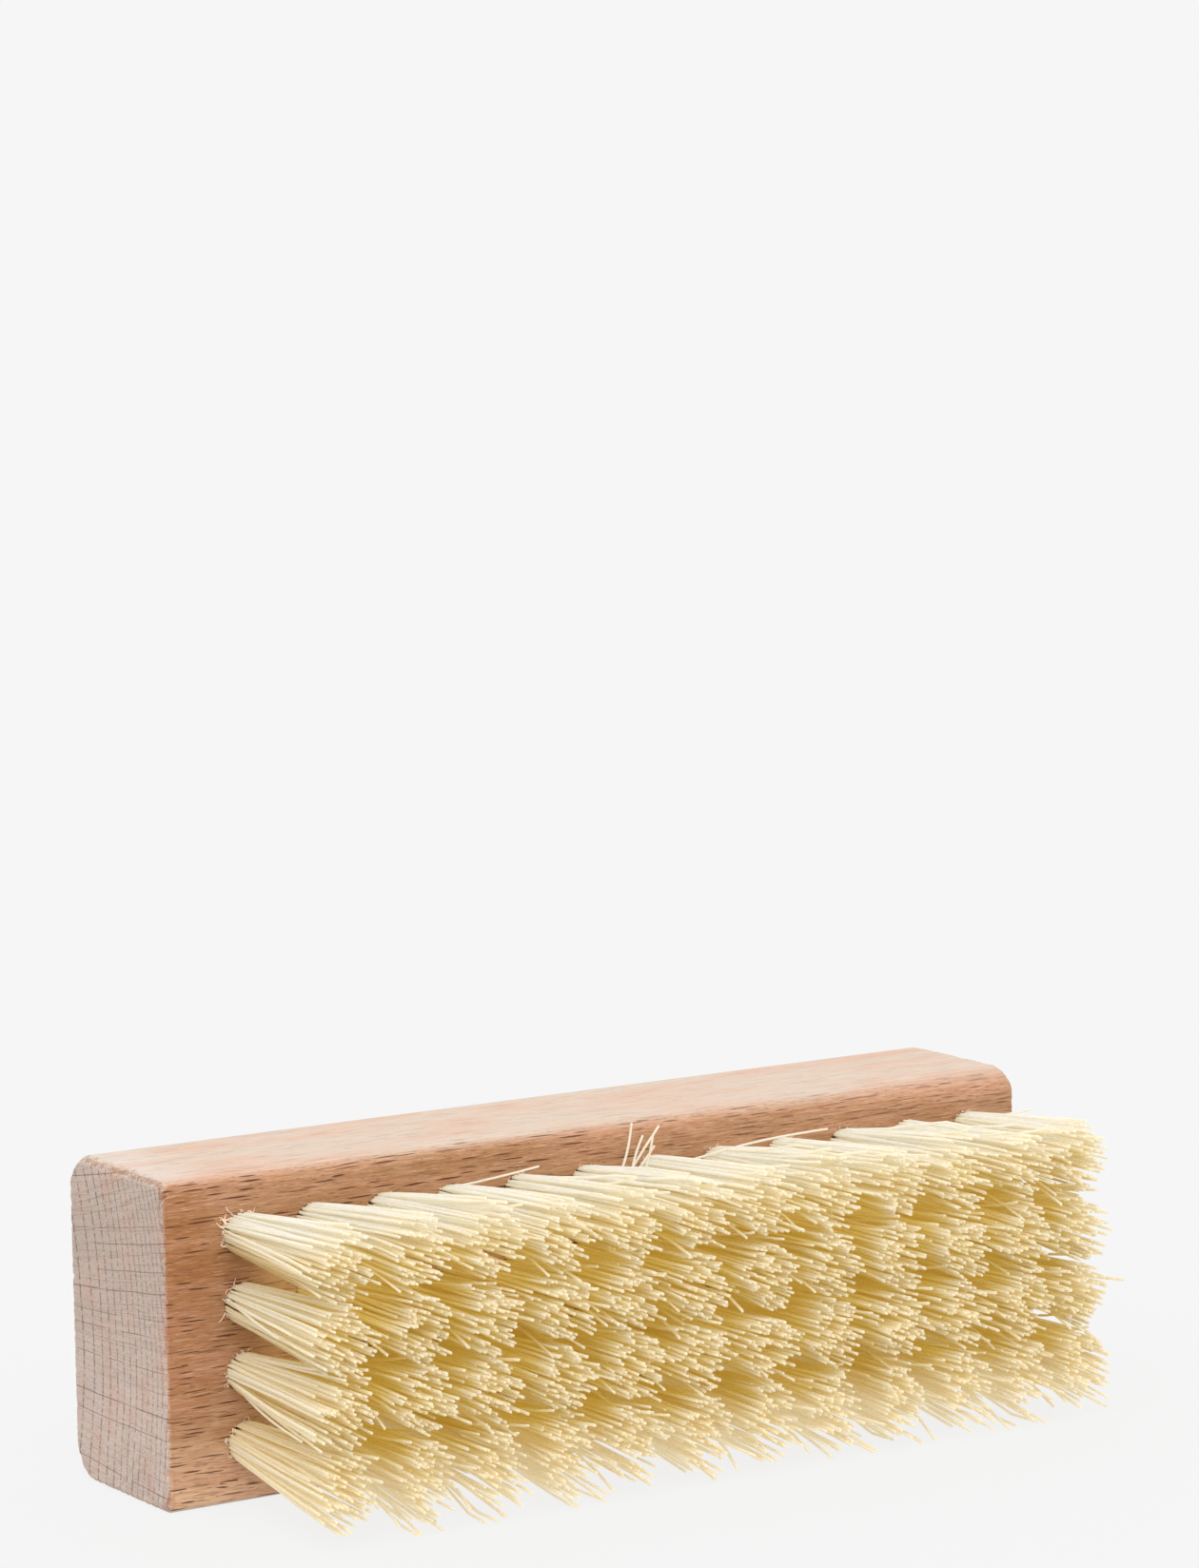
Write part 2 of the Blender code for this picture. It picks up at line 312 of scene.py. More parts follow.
def makeBeech():
    material, shader, spot = startMaterial("beech")
    where = splitVector(spot)
    x, y, z = where["X"], where["Y"], where["Z"]
    facing = splitVector(spot.node("TexCoord", output="Normal"))
    onEnd = fade(abs(facing["X"]), 0.45, 0.85)
    onBristleSide = fade(facing["Y"] * -1, 0.42, 0.98)
    onBack = fade(facing["Y"], 0.30, 0.95)
    fewer = fade(facing["Y"], 0.3, 0.85) * beech["fewerBehind"]
    onFlat = fade(abs(facing["Y"]), 0.3, 0.85) * (1 - fewer)

    def noiseIn(name):
        along, across, detail, roughness = woodNoise[name]
        return grain(point(x * along, y * across, z * across), detail, roughness)

    # rings and rays from the heart line, with the grain's slow sway along the block
    wander = splitColour(noiseIn("wander")["Color"])
    outY = beech["heartY"] - y + (wander["Red"] - 0.5) * 2 * beech["sway"]
    outZ = z - beech["heartZ"] + (wander["Green"] - 0.5) * 2 * beech["sway"]
    fromHeart = (outY * outY + outZ * outZ) ** 0.5
    roundHeart = spot.math("ARCTAN2", outZ, outY) * beech["heartY"]
    outward = fromHeart - beech["firstRing"]
    rings = outward * beech["ringRate"] + outward * outward * beech["ringTightening"]
    ringShare = rings.math("FRACT", rings)
    late = fade(ringShare, 0.55, 0.97) * (1 - fade(ringShare, 0.975, 1))
    rays = flecks(x, roundHeart, fromHeart, *beech["rays"])
    specks = flecks(x, roundHeart, fromHeart, *beech["specks"])

    # fine pores: streaks along the grain, dots where it is cut across
    streaks, dots = noiseIn("streaks"), noiseIn("dots")
    clouds, bands, fine = noiseIn("clouds"), noiseIn("bands"), noiseIn("fine")

    # the long sides, the bristle side with painted shade and, lower down, painted floor bounce
    nearEnd = fade(x + clouds * 8, *beech["nearTones"])
    colour = layTones(beech["bristleSide"], (
        ("lowerTone", fade(z + clouds * 12, 26, 2)),
        ("bandPale", fade(bands, 0.52, 0.75)),
        ("bandDark", fade(bands, 0.48, 0.28)),
        ("darkPart", nearEnd * fade(z + clouds * 10, 8, 22)),
        ("darkClouds", fade(clouds, 0.48, 0.32))))
    longSide = layTones(beech["longSide"], (("paleEnd", nearEnd),))
    colour = tint(onBack, tint(onBristleSide, longSide, colour), beech["back"])
    colour = layTones(colour, (
        ("blush", fade(clouds, 0.42, 0.72)), ("lateWood", late)), onFlat)
    shadeOfStreaks = fade(streaks, 0.30, 0.72)
    colour = tint(shadeOfStreaks * beech["streakShare"], colour, beech["streak"], "MULTIPLY")
    colour = layTones(colour, (
        ("fineDark", fade(fine, 0.50, 0.70)),
        ("finePale", fade(fine, 0.48, 0.32)),
        ("specks", specks),
        ("rays", rays * (1 - fade(x, *beech["farTones"]) * beech["fainterFar"]))), onFlat)

    # the sawn ends
    endColour = tint(fade(z, 30, 8), *beech["endTones"])
    endColour = layTones(endColour, (
        ("endBlush", fade(clouds, 0.45, 0.75)),
        ("endPores", fade(dots, 0.46, 0.62))))
    ringWidth = (outward * beech["ringTightening"] * 2 + beech["ringRate"]) * beech["ringLine"]
    brokenRing = grain(point(fromHeart * 0.3, y * 2.2, z * 2.2), 2, 0.6)
    ringLine = (fade(abs(ringShare - 0.9) / ringWidth, 1.5, 0.5)
                * fade(brokenRing, 0.38, 0.56) * fade(dots, 0.30, 0.46))
    atFront, behind = beech["ringLineShares"]
    ringDark = fade(y, 8, 20) * behind + atFront
    endColour = tint(ringLine * ringDark, endColour, beech["endRay"])
    alongEnd = (z + y * (z * beech["raySteepening"] + beech["raySlope"])
                + (wander["Green"] - 0.5) * beech["sway"])
    longRays = rayLines(alongEnd, fromHeart, *beech["longRays"])
    shortRays = rayLines(alongEnd + beech["shortRayOffset"], fromHeart, *beech["shortRays"])
    longOnes, shortOnes = beech["endRayShares"]
    endColour = tint(longRays * longOnes + shortRays * shortOnes, endColour, beech["endRay"])
    colour = tint(onEnd, colour, endColour)

    # painted bounce light between the tufts, and the torn rims of the ends with painted shade
    amongTufts = 1.0
    for axis, start, full in beech["amongTufts"]:
        amongTufts = fade(where[axis], start, full) * amongTufts
    torn = attribute(spot, "torn")
    rimDistance = distanceFromRims(x, y, z)
    nearFace = fade(y, 4.5, 2)
    tornShare = fade(torn, 0.1, 0.6) * fade(rimDistance, 1.1, 0.3)
    rimShare = fade(rimDistance, 0.35, 0.10) * fade(dots + streaks, 0.80, 1.05)
    atTears, atRims = beech["tearingShares"]
    jags = (noiseIn("jags") - 0.5) * beech["rimJags"]
    # a dark line along the upper rim of the ends, part torn fibres and part painted shadow
    upperRim = (fade(abs(rimDistance - beech["rimOffset"] + jags), 0.24, 0.06)
                * fade(z, 35, 37) * fade(abs(facing["X"]), 0.3, 0.7)
                * fade(bands + fade(y, 24, 2) * 0.45, 0.42, 0.58))
    colour = layTones(colour, (
        ("warmth", amongTufts),
        ("teeth", tornShare * (1 - nearFace)),
        ("tearing", (tornShare * atTears + rimShare * atRims) * nearFace),
        ("rimLine", upperRim)))

    height = (streaks * 0.4 + dots * (onEnd * 0.8 + 0.1) - rays * 0.9 - specks * 0.4
              - (longRays + ringLine * 0.6) * onEnd * 0.5)
    roughness = 0.58 + shadeOfStreaks * 0.10 + onEnd * 0.16
    finishMaterial(shader, spot, colour, roughness, height, beech["bumpDepth"],
                   {"Specular IOR Level": 0.35})
    return material


# Plant fibre: a pale cream that lets light through, palest where it is cut. Painted on it are
# golden light down between the tufts, where the light has come through many fibres, pale light
# where the fibres lie open, shade on the tufts' lower sides and a glow for the light scattered
# inside.

fibreFinish = {
    "straws": (screenColour(251, 247, 234), screenColour(241, 225, 184)),
    "cut": (screenColour(231, 227, 216), screenColour(222, 214, 199)),
    "coreShare": 0.6,
    "tipsLessPale": 0.3,    # share of the painted sunlight's paleness that the tips lack
    "lowPaleness": 0.5,     # and what the lowest fibres have of it
    "tipInSun": 0.7,        # how much less the tips' own tone shows on sunlit fibres
    "tipsLessGlow": 0.35,
    "lineGlow": screenColour(176, 150, 120),  # dims the darker ones between the tufts
    "lineShare": 0.65,
    "glowStrength": 0.46,
    "letThrough": 0.6,      # share of the light that goes into a fibre and out elsewhere
    "throughColour": screenColour(242, 234, 212),
    "bumpDepth": 0.01 * mm,
}
# Tones laid over these, many of them painted light and shade, and how strongly each shows
fibreTones = {
    # painted shade on the tufts' lower sides, away from the light
    "underneath": ((236, 214, 160), 0.6),
    "sheltered": ((216, 186, 128), 0.8),  # painted shade on the near tufts' lower sides
    # painted light: paler where the fibres lie open to the light
    "pale": ((201, 210, 225), 1),
    "rosy": ((248, 234, 212), 0.6),
    "strawSpots": ((251, 247, 234), 0.35),
    # painted golden light and shade deep between the tufts
    "deep": ((244, 226, 154), 1),
    "tip": ((241, 239, 226), 0.8),
    "inHole": ((190, 146, 96), 1),
    "innerGlow": ((192, 168, 104), 1),  # scattered light inside a tuft,
    "outerGlow": ((231, 221, 194), 1),  # where the light falls on the fibres
    "deepGlow": ((168, 150, 66), 1),  # and deep down between the tufts
}


def makeFibre():
    material, shader, spot = startMaterial("plantFibre")
    along = attribute(spot, "along")
    luck = attribute(spot, "luck")
    depth = attribute(spot, "depth")
    sunlit = attribute(spot, "sunlit") * fade(along, -0.02, 0.05)
    blotches = grain(point(along * 9, luck * 57, 0), 3, 0.6)
    mottle = grain(spot, 2, 0.6)
    high = fade(splitVector(spot)["Z"], 8, 26)
    lowPart = fibreFinish["lowPaleness"]
    # painted shade on the roots down in the hole, which also dims their glow
    inHole = fade(along, 0.006, 0)

    colour = tint(fade(luck, 0.25, 0.95), *fibreFinish["straws"])
    colour = layTones(colour, (
        ("underneath", fade(sunlit, 0.30, 0.02)),
        ("sheltered", fade(sunlit, 0.10, -0.25)),
        ("pale", sunlit * (1 - fade(along, 0.70, 0.95) * fibreFinish["tipsLessPale"])
         * (high * (1 - lowPart) + lowPart)),
        ("rosy", fade(blotches, 0.50, 0.80)),
        ("strawSpots", fade(blotches, 0.50, 0.25)),
        ("deep", depth),
        ("tip", fade(along, 0.6, 1) * (1 - sunlit * fibreFinish["tipInSun"]))))
    core = fade(mottle, 0.4, 0.65) * fibreFinish["coreShare"]
    cutColour = tint(core, *fibreFinish["cut"])
    colour = tint(attribute(spot, "cut"), colour, cutColour)
    colour = layTones(colour, (("inHole", inHole),))
    finishMaterial(shader, spot, colour, 0.52 + blotches * 0.2, blotches + mottle * 0.3,
                   fibreFinish["bumpDepth"], {
                       "Specular IOR Level": 0.12,
                       "Emission Strength": fibreFinish["glowStrength"]})

    # painted light: the fibres glow, standing in for light scattered through and between them
    dim = 1 - inHole
    lessAtTips = 1 - fade(along, 0.75, 0.97) * fibreFinish["tipsLessGlow"]
    glow = layTones((0, 0, 0, 1), (
        ("innerGlow", attribute(spot, "inner") * dim),
        ("outerGlow", sunlit * dim * lessAtTips),
        ("deepGlow", fade(depth * dim, 0.05, 0.9))))
    lines = fade(luck, 0.40, 0.85) * depth * fibreFinish["lineShare"]
    glow = tint(lines, glow, fibreFinish["lineGlow"], "MULTIPLY")
    spot.plug(glow, shader.inputs["Emission Color"])
    passing = spot.node("BsdfTranslucent", None, {"Color": fibreFinish["throughColour"]})
    both = spot.node("MixShader", None, {
        0: fibreFinish["letThrough"], 1: Wire(spot.tree, shader.outputs[0]), 2: passing})
    spot.plug(both, material.node_tree.nodes["Material Output"].inputs["Surface"])
    return material


def makeMottled(name, detail, span, tones, roughness, bumpDepth, metallic):
    # A plain material, its two tones mixed by a fine grain.
    material, shader, spot = startMaterial(name)
    mottle = grain(spot, detail, 0.6)
    colour = tint(fade(mottle, *span), *tones)
    finishMaterial(shader, spot, colour, roughness + mottle * 0.2, mottle, bumpDepth,
                   {"Metallic": metallic})
    return material


def makeFloorFinish():
    material, shader, spot = startMaterial("paleFloor")
    speckle = grain(spot, 2)
    colour = tint(speckle, *studio["floorTones"])
    finishMaterial(shader, spot, colour, 0.85 + speckle * 0.05, speckle, 0.001 * mm, {
        "Emission Color": (1, 1, 1, 1), "Emission Strength": studio["floorGlow"],
        "Specular IOR Level": 0.0})
    return material


# Meshes and pieces

def addObject(name, data):
    made = bpy.data.objects.new(name, data)
    bpy.context.scene.collection.objects.link(made)
    return made


def toMesh(name, bm):
    bmesh.ops.recalc_face_normals(bm, faces=bm.faces)
    mesh = bpy.data.meshes.new(name)
    bm.to_mesh(mesh)
    bm.free()
    return mesh


def makePiece(name, bm, material, smoothUnder):
    mesh = toMesh(name, bm)
    mesh.materials.append(material)
    mesh.shade_smooth()
    mesh.set_sharp_from_angle(angle=math.radians(smoothUnder))
    return addObject(name, mesh)


def addRod(bm, sides, radius, length, place):
    # A closed rod along the Z of its place, of which this gives the corners.
    return bmesh.ops.create_cone(bm, cap_ends=True, segments=sides, radius1=radius,
                                 radius2=radius, depth=length, matrix=place)["verts"]


def bevel(bm, edges, width, segments):
    bmesh.ops.bevel(bm, geom=edges, offset=width, segments=segments, profile=0.5,
                    affect="EDGES", clamp_overlap=True, material=-1)


def endFace(verts, measure):
    # Of the faces at some corners, the one whose middle measures least.
    faces = {face for vert in verts for face in vert.link_faces}
    return min(faces, key=lambda face: measure(face.calc_center_median()))


def rootCentre(name):
    # Where a tuft's root stands in the bristle face, from the part of it inside the block.
    inside = [v.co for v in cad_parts[name].data.vertices if v.co.y > blockLow.y + mm]
    xs = [co.x for co in inside]
    zs = [co.z for co in inside]
    return Vector(((min(xs) + max(xs)) / 2, blockLow.y, (min(zs) + max(zs)) / 2))


# The block

block = {
    "upperBackEdge": 4.2 * mm,
    "lowerBackEdge": 4.6 * mm,
    "upperFrontEdge": 3.4 * mm,
    "lowerFrontEdge": 1.2 * mm,
    "nearShare": 0.44,      # of the upper front edge's radius, left at the nearer end
    "edgeSegments": 14,
    "endArris": 0.55 * mm,
    "arrisSegments": 3,
    "topArris": 0.45 * mm,  # by which the arris on top is wider than the others
    "rimStep": 0.25 * mm,   # length of the small steps along the sawn ends' rims
    "rimWaver": 0.05 * mm,  # how uneven the rims are all round
    "tearSize": 0.9 * mm,   # width of the chips that the saw tore from the rims
    "tearDepth": 0.34 * mm,
    "tearLeast": 0.06,      # a greater value leaves fewer chips
    "frontChips": 0.7,      # share of that depth at the bristle side
    "otherChips": 1.6,
    "upperPart": 3 * mm,    # below the top, where the wider arris starts
    "upperFade": 2 * mm,
    "holeDiameter": 5 * mm,
    "holeDepth": 11 * mm,
    "drillAngle": math.radians(118),
    "drillSides": 28,
}


def roundLongEdge(bm, up, back, radius):
    # up and back are 1 or -1, and say which of the four long edges is meant
    longOnes = [e for e in bm.edges
                if abs(e.verts[0].co.x - e.verts[1].co.x) > blockHalf.x]
    corner = max(longOnes, key=lambda e: up * (e.verts[0].co.z - blockMiddle.z)
                 + back * (e.verts[0].co.y - blockMiddle.y))
    bevel(bm, [corner], radius, block["edgeSegments"])


def sharpenNearCorner(bm):
    # the upper front edge's rounding gets smaller towards the nearer end
    corner = Vector((blockLow.x, blockLow.y, blockHigh.z))
    reach = block["upperFrontEdge"] * 1.01
    rounding = [v for v in bm.verts if v.co.x < 0 and v.co.y < corner.y + reach
                and v.co.z > corner.z - reach]
    bmesh.ops.scale(bm, vec=(1, block["nearShare"], block["nearShare"]), verts=rounding,
                    space=Matrix.Translation(-corner))


def splitRims(bm):
    # short steps along the rims of both ends, for the saw's chips
    nearEnd = blockHalf.x - block["endArris"] - 0.01 * mm
    byCuts = {}
    for edge in bm.edges:
        first, second = edge.verts[0].co, edge.verts[1].co
        level = abs(first.x - second.x) < 0.001 * mm
        if level and abs(first.x) > nearEnd and edge.calc_length() > 2 * block["rimStep"]:
            cuts = int(edge.calc_length() / block["rimStep"])
            byCuts.setdefault(cuts, []).append(edge)
    for cuts in sorted(byCuts):
        bmesh.ops.subdivide_edges(bm, edges=byCuts[cuts], cuts=cuts, use_grid_fill=True)


def tearRims(bm):
    # Chips along the rims: the side loop moves along the block, the end loop towards the
    # middle of the end, and those between them both ways, which leaves a small hollow.
    tornLayer = bm.verts.layers.float.new("torn")
    arris = block["endArris"]
    for vert in bm.verts:
        into = (abs(vert.co.x) - (blockHalf.x - arris)) / arris   # 0 on the sides, 1 on the end
        if into < -0.01:
            continue
        side = math.copysign(1, vert.co.x)
        spot = vert.co / block["tearSize"]
        spot.x = side * 7       # the two ends are torn differently
        rough = noise.noise(spot) + 0.5 * noise.noise(spot * 2.7)
        chip = max(0, rough - block["tearLeast"])
        belowTop = vert.co.z - blockHigh.z + block["upperPart"]
        atFront = vert.co.y < blockLow.y + mm and belowTop < 0
        depth = block["tearDepth"] * block["frontChips" if atFront else "otherChips"]
        waver = block["rimWaver"] * (1 + noise.noise(spot * 3.1))
        vert[tornLayer] = min(1.0, chip * 2.2)
        upper = min(1, max(0, belowTop / block["upperFade"]))
        if into < 0.99:
            wider = upper * block["topArris"] * (1 - into)
            vert.co.x -= side * (chip * depth * (1 - 0.4 * into) + waver + wider)
        if into > 0.01:
            inward = Vector((0, (blockMiddle.y - vert.co.y) / blockHalf.y,
                             (blockMiddle.z - vert.co.z) / blockHalf.z))
            # only the directions that point away from the nearest side
            reach = max(abs(inward.y), abs(inward.z))
            inward.y = inward.y if abs(inward.y) > reach - 0.25 else 0
            inward.z = inward.z if abs(inward.z) > reach - 0.25 else 0
            inward.normalize()
            vert.co += inward * (chip * depth * 0.7 + waver) * min(1, into + 0.2)
            vert.co.z -= upper * block["topArris"] * into


def drillTool(centres):
    bm = bmesh.new()
    radius = block["holeDiameter"] / 2
    overrun = 3 * mm
    pointLength = radius / math.tan(block["drillAngle"] / 2)
    shankLength = block["holeDepth"] + overrun
    intoWood = Matrix.Rotation(-math.pi / 2, 4, "X")       # local Z turned to +Y
    for centre in centres:
        place = (Matrix.Translation(centre) @ intoWood
                 @ Matrix.Translation((0, 0, shankLength / 2 - overrun)))
        shank = addRod(bm, block["drillSides"], radius, shankLength, place)
        bottom = endFace(shank, lambda middle: -middle.y)
        tip = bmesh.ops.poke(bm, faces=[bottom])["verts"][0]
        tip.co.y += pointLength
    return addObject("drillTool", toMesh("drillTool", bm))


def makeBlock(material, centres):
    bm = bmesh.new()
    bmesh.ops.create_cube(bm, size=1.0)
    bmesh.ops.scale(bm, vec=blockHigh - blockLow, verts=bm.verts)
    bmesh.ops.translate(bm, vec=blockMiddle, verts=bm.verts)
    for up, back, edge in ((1, 1, "upperBackEdge"), (-1, 1, "lowerBackEdge"),
                           (1, -1, "upperFrontEdge"), (-1, -1, "lowerFrontEdge")):
        roundLongEdge(bm, up, back, block[edge])
    sharpenNearCorner(bm)
    bm.normal_update()
    ends = [f for f in bm.faces if abs(f.normal.x) > 0.99]
    rims = list({edge for face in ends for edge in face.edges})
    bevel(bm, rims, block["endArris"], block["arrisSegments"])
    splitRims(bm)
    tearRims(bm)
    piece = makePiece("beech_block", bm, material, woodCrease)
    tool = drillTool(centres)
    drilling = piece.modifiers.new("drilling", "BOOLEAN")
    drilling.operation = "DIFFERENCE"
    drilling.solver = "EXACT"
    drilling.object = tool
    drilled = piece.evaluated_get(bpy.context.evaluated_depsgraph_get())
    mesh = bpy.data.meshes.new_from_object(drilled)
    piece.modifiers.clear()
    piece.data = mesh
    mesh.name = "beech_block"
    mesh.set_sharp_from_angle(angle=math.radians(woodCrease))
    bpy.data.objects.remove(tool)
    return piece


# The tufts

tuft = {
    "seed": 11,
    "fibres": 66,           # inside a tuft
    "ringFibres": 36,       # close together round it
    "sides": 5,
    "rootRadius": 2.57 * mm,  # of the bundle, which fills the hole's mouth
    "insideRing": 0.84,     # of that, which the ring of fibres leaves
    "rootDepth": 1.8 * mm,  # how far the loose fibres reach into the hole
    "rootScatter": 0.10 * mm,
    "thickness": (0.170 * mm, 0.235 * mm),  # a fibre's radius
    "taper": 0.92,          # a tip's share of the root's thickness
    "frayed": 1.06,         # the cut end is a little wider than the fibre
    "tipRadius": (3.55 * mm, 4.05 * mm),  # along and across the brush
    "tipScatter": 0.22 * mm,
    "hollow": 0.88,         # a lesser value leaves fewer tips in a tuft's middle
    "sunken": 0.5 * mm,     # how much shorter the middle fibres are
    "strands": 22,          # bunches of fibres that keep side by side
    "seatScatter": 0.2 * mm,
    "strandScatter": 0.30 * mm,
    "strandBow": 0.16 * mm,
    "strandShort": 0.25,    # how much of the trim whole strands fall short by
    "luckShares": (0.55, 0.45),  # of a fibre's tone, from its strand and its own
    "spread": 0.22,         # how soon the fibres spread once out of the hole
    "spreadRange": (0.5, 1.2),
    "wave": 0.05 * mm,
    "waves": 1.5,           # on the way to the tip
    "trim": 1.5 * mm,       # unevenness of the trimmed tips
    "shortOnes": 0.20,      # share of fibres that were cut or broke short
    "shortBy": 4 * mm,
    "looseOnes": 0.16,      # share of fibres that stick out by themselves
    "looseBy": 3.2 * mm,
    "looseLate": 2.5,       # a greater value parts them from the tuft further out
    "fringeBy": 1.6,        # how much further they stray under the lowest row
    "keptTogether": 0.5,    # and how much less in the column at the nearer end
    "lowest": 0.35 * mm,    # above the surface that the brush lies on
    "highest": 39.1 * mm,
    "stations": (0, 0.12, 0.34, 0.60, 0.82, 0.985, 1),  # shares of the way to the tip
    "palePart": 1.7 * mm,   # depth from the outside of all the tufts that has no painted golden shade
    "goldenFrom": 3.6 * mm,  # and how much deeper that painted golden shade is full
}
# How far the tufts on each side of the field lean outwards, and their outer fibres more
lean = {
    "near": (0.8 * mm, 0.35),
    "far": (-1.2 * mm, 0.05),
    "upper": (0.6 * mm, 0.12),
    "lower": (0.6 * mm, 0.36),
}
# How open to the light fibres are, which sets their painted light, shade and glow: as a start,
# and what a tuft's upper and lower sides add
openness = {
    "start": 0.36,
    "least": -0.4,
    "upperRow": (1.15, -0.05),
    "lessByColumn": 0.03,   # of its upper side, with each column from the nearer end
    "middleRows": (0.25, -0.35),
    "lowestRow": (0.1, 0.4),
    "nearColumn": (-0.8, -0.42),  # its lower sides, in the upper row and in the middle ones
}
tipPlane = cadLow.y


def gridPlace(name):
    # tuft_row3_07 is in row 3 and column 7
    return int(name[8]), int(name[-2:])


def openSides(row, column, rows):
    # What a tuft's upper and lower fibres add to how open to the light they are.
    if row == rows:
        return openness["lowestRow"]
    upper, lower = openness["middleRows"]
    if row == 1:
        upper, lower = openness["upperRow"]
        upper -= openness["lessByColumn"] * column
    if column == 1:
        lower = openness["nearColumn"][0 if row == 1 else 1]
    return upper, lower


def outwardSides(row, column, rows, columns):
    # The sides of the bristle field that a tuft is on: its axis, which way is out, and how
    # far the tuft leans that way.
    edges = ((column == 1, 0, -1, "near"), (column == columns, 0, 1, "far"),
             (row == 1, 1, 1, "upper"), (row == rows, 1, -1, "lower"))
    return [(axis, out, *lean[side]) for onEdge, axis, out, side in edges if onEdge]


def scatter(chance, size):
    return Vector((chance.gauss(0, 1), chance.gauss(0, 1))) * size


def layStrands(chance):
    # A tuft's bunches of fibres: where each leaves the hole and how it strays on its way.
    turn = chance.uniform(0, math.tau)
    strands = []
    for number in range(tuft["strands"]):
        angle = turn + number * goldenAngle
        reach = tuft["rootRadius"] * math.sqrt((number + 0.5) / tuft["strands"])
        seat = Vector((reach * math.cos(angle), reach * math.sin(angle)))
        strands.append({"seat": seat + scatter(chance, tuft["seatScatter"]),
                        "strays": scatter(chance, tuft["strandScatter"]),
                        "bows": scatter(chance, tuft["strandBow"]),
                        "luck": chance.random(),
                        "short": abs(chance.gauss(0, tuft["strandShort"])) * tuft["trim"]})
    return strands


def layFibres(centre, sides, opened, chance):
    # One tuft's fibres: where each stands in the hole's mouth, where its tip is and how open
    # to the light it has been.
    strands = layStrands(chance)
    turn = chance.uniform(0, math.tau)
    fringe = any(axis == 1 and out < 0 for axis, out, _, _ in sides)
    nearest = any(axis == 0 and out < 0 for axis, out, _, _ in sides)
    fromStrand, ownLuck = tuft["luckShares"]
    fibres = []
    for number in range(tuft["fibres"] + tuft["ringFibres"]):
        radius = chance.uniform(*tuft["thickness"])
        if number < tuft["fibres"]:
            share = math.sqrt((number + 0.5) / tuft["fibres"]) * tuft["insideRing"]
            angle = turn + number * goldenAngle
        else:
            share = 1
            angle = turn + number * math.tau / tuft["ringFibres"]
        ray = Vector((math.cos(angle), math.sin(angle)))
        root = ray * (tuft["rootRadius"] - radius) * share + scatter(chance, tuft["rootScatter"])
        root *= min(1, (tuft["rootRadius"] - radius) / root.length)
        strand = min(strands, key=lambda strand: (strand["seat"] - root).length)
        outness = root.length / tuft["rootRadius"]
        tip = root / tuft["rootRadius"] * outness ** (tuft["hollow"] - 1)
        tip = Vector((tip.x * tuft["tipRadius"][0], tip.y * tuft["tipRadius"][1]))
        tip += strand["strays"] + scatter(chance, tuft["tipScatter"])
        loose = Vector((0, 0))
        if chance.random() < tuft["looseOnes"]:
            loose = ray * chance.random() ** 1.5 * tuft["looseBy"]
            if nearest:
                loose *= tuft["keptTogether"]
            if fringe and ray.y < 0:
                loose *= tuft["fringeBy"]
        for axis, out, distance, splay in sides:
            if out * tip[axis] > 0:
                tip[axis] *= 1 + splay * abs(tip[axis]) / tuft["tipRadius"][axis]
            tip[axis] += out * distance
        short = strand["short"] + chance.random() ** 2 * tuft["trim"]
        short += (1 - share) * tuft["sunken"]
        if chance.random() < tuft["shortOnes"]:
            short += chance.random() * tuft["shortBy"]
        sunlit = openness["start"] + opened[0 if ray.y > 0 else 1] * abs(ray.y) * share
        fibres.append({
            "root": Vector((centre.x + root.x, centre.z + root.y)),
            "tip": Vector((centre.x + tip.x, keptClear(centre.z + tip.y, radius))),
            "radius": radius, "short": short, "wave": scatter(chance, tuft["wave"]),
            "bows": strand["bows"], "loose": loose,
            "luck": fromStrand * strand["luck"] + ownLuck * chance.random(),
            "inner": 1 - 0.7 * share, "sunlit": min(1, max(openness["least"], sunlit)),
            "spread": tuft["spread"] * chance.uniform(*tuft["spreadRange"])})
    return fibres


def keptClear(height, radius):
    # A fibre's height, off the surface below and under the block's top.
    return min(max(height, tuft["lowest"] + radius), tuft["highest"] - radius)


def fibrePlace(fibre, share):
    # The middle of a fibre at a share of the way from the mouth to the trimmed tips.
    reach = share * (1 + fibre["spread"] * (1 - share))
    across = fibre["root"].lerp(fibre["tip"], reach)
    across += fibre["bows"] * math.sin(math.pi * share) * share
    across += fibre["loose"] * share ** tuft["looseLate"]
    across += fibre["wave"] * math.sin(math.tau * tuft["waves"] * share) * share
    end = tipPlane + fibre["short"]
    return Vector((across.x, blockLow.y + (end - blockLow.y) * share,
                   keptClear(across.y, fibre["radius"])))


def depthAt(place, field):
    # 0 at the outside of the whole bristle field and 1 well inside it, where the golden shade is
    # painted.
    out = (blockLow.y - place.y) / (blockLow.y - tipPlane)
    flare = (tuft["tipRadius"][0] - tuft["rootRadius"]) * out + tuft["rootRadius"]
    inside = min(place.x - (field["left"] - flare), field["right"] + flare - place.x,
                 place.z - (field["bottom"] - flare), field["top"] + flare - place.z,
                 place.y - tipPlane)
    return min(1, max(0, (inside - tuft["palePart"]) / tuft["goldenFrom"]))


